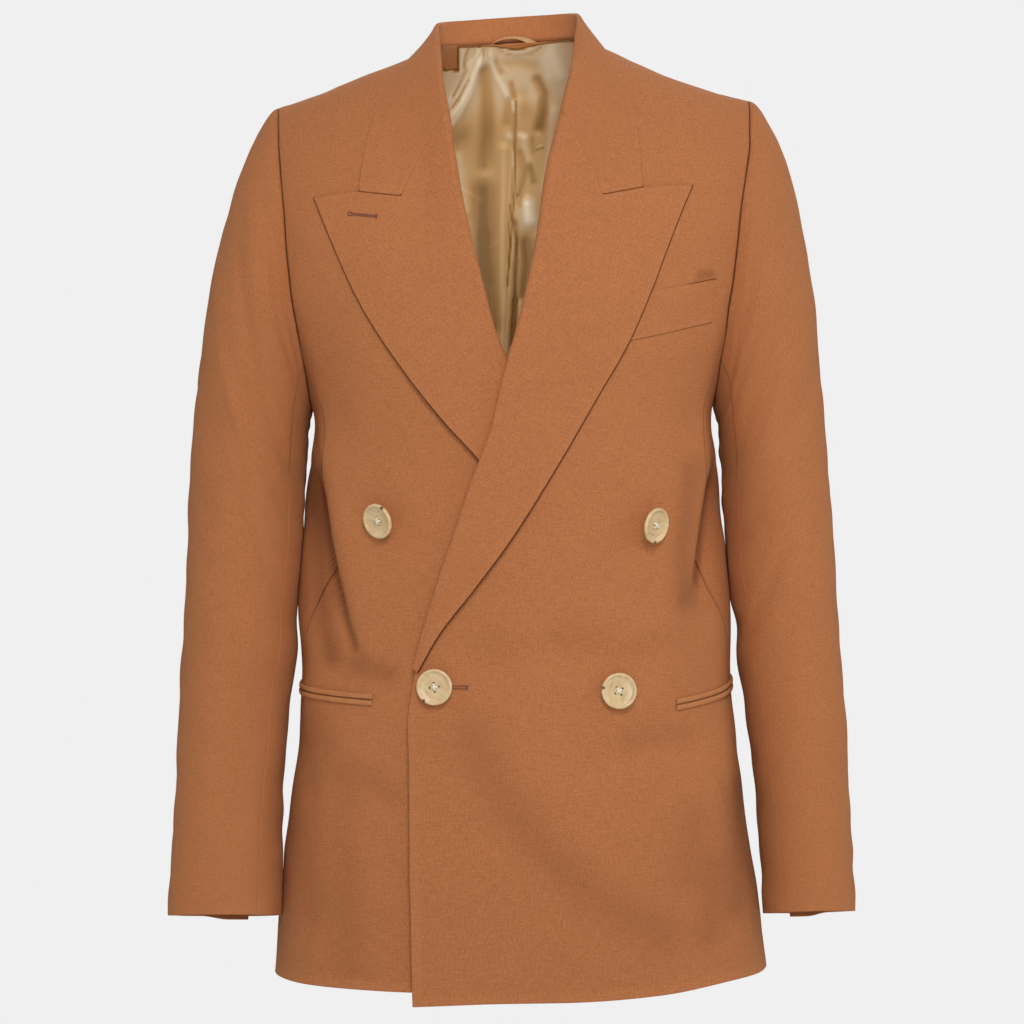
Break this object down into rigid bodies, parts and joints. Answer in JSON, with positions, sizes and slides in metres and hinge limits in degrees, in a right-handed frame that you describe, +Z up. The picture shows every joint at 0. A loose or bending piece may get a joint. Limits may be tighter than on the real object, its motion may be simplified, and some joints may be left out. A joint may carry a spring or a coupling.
{
  "type": "double breasted blazer",
  "caption": "Hollow worn-form double breasted blazer: peak lapels, full sleeves, breast welt, jetted hip pockets, satin back lining and horn buttons",
  "frame": {"origin": "midway between the high shoulder points, on the wearer's centre line, where the shoulders carry the blazer", "axes": "+Z up along the wearer, front towards -Y, wearer's left towards +X"},
  "size_m": [0.5441, 0.2506, 0.7837],
  "materials": {
    "wool": "matt plain weave",
    "satin": "satin lining",
    "horn": "polished horn"
  },
  "bodies": {
    "root": {"front_left": "wool", "front_right": "wool", "side_left": "wool", "side_right": "wool", "back_left": "wool", "back_right": "wool", "sleeve_left_top": "wool", "sleeve_left_under": "wool", "sleeve_right_top": "wool", "sleeve_right_under": "wool", "collar": "wool", "facing_left": "wool", "facing_right": "wool", "breast_welt": "wool", "jet_left_upper": "wool", "jet_left_lower": "wool", "jet_right_upper": "wool", "jet_right_lower": "wool", "lining_back": "satin", "hanger_loop": "satin", "button_upper_left": "horn", "button_lower_left": "horn", "button_lower_right": "horn", "button_upper_right": "horn"}
  },
  "joints": []
}
